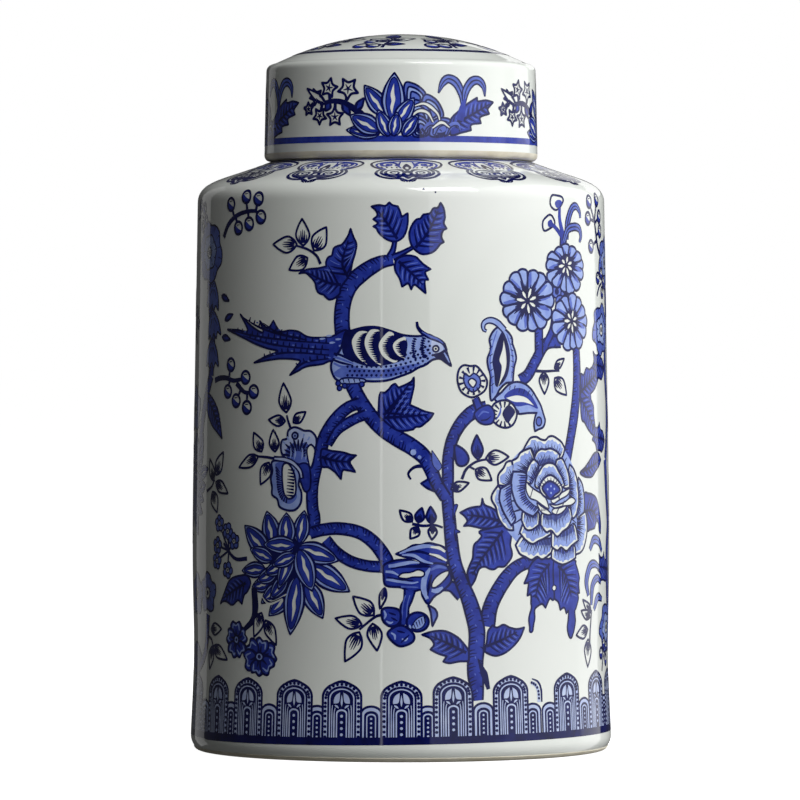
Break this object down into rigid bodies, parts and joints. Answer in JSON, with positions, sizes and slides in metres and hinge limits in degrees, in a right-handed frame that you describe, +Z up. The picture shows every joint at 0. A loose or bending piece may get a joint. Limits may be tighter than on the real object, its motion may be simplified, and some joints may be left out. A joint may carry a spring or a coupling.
{
  "type": "ginger jar",
  "caption": "Straight-sided glazed porcelain ginger jar with a slip-over domed lid and blue painted birds, branches and flowers.",
  "frame": {"origin": "middle of the foot ring, on the surface the jar stands on", "axes": "+Z up through the lid's dome; -Y faces the viewer of the bird"},
  "size_m": [0.1764, 0.1764, 0.3],
  "materials": {
    "white_glaze": "clear gloss glaze over cool white porcelain",
    "cobalt_line": "dark cobalt outline under clear gloss glaze",
    "cobalt_wash": "mid cobalt wash under clear gloss glaze",
    "bare_porcelain": "unglazed fired body, matt"
  },
  "bodies": {
    "jar": {"jar_body": "white_glaze"},
    "lid": {"lid": "white_glaze"}
  },
  "joints": [
    {"name": "lid_lift", "type": "slide", "parent": "jar", "child": "lid", "axis": [0, 0, 1], "range_m": [0, 0.1]}
  ]
}
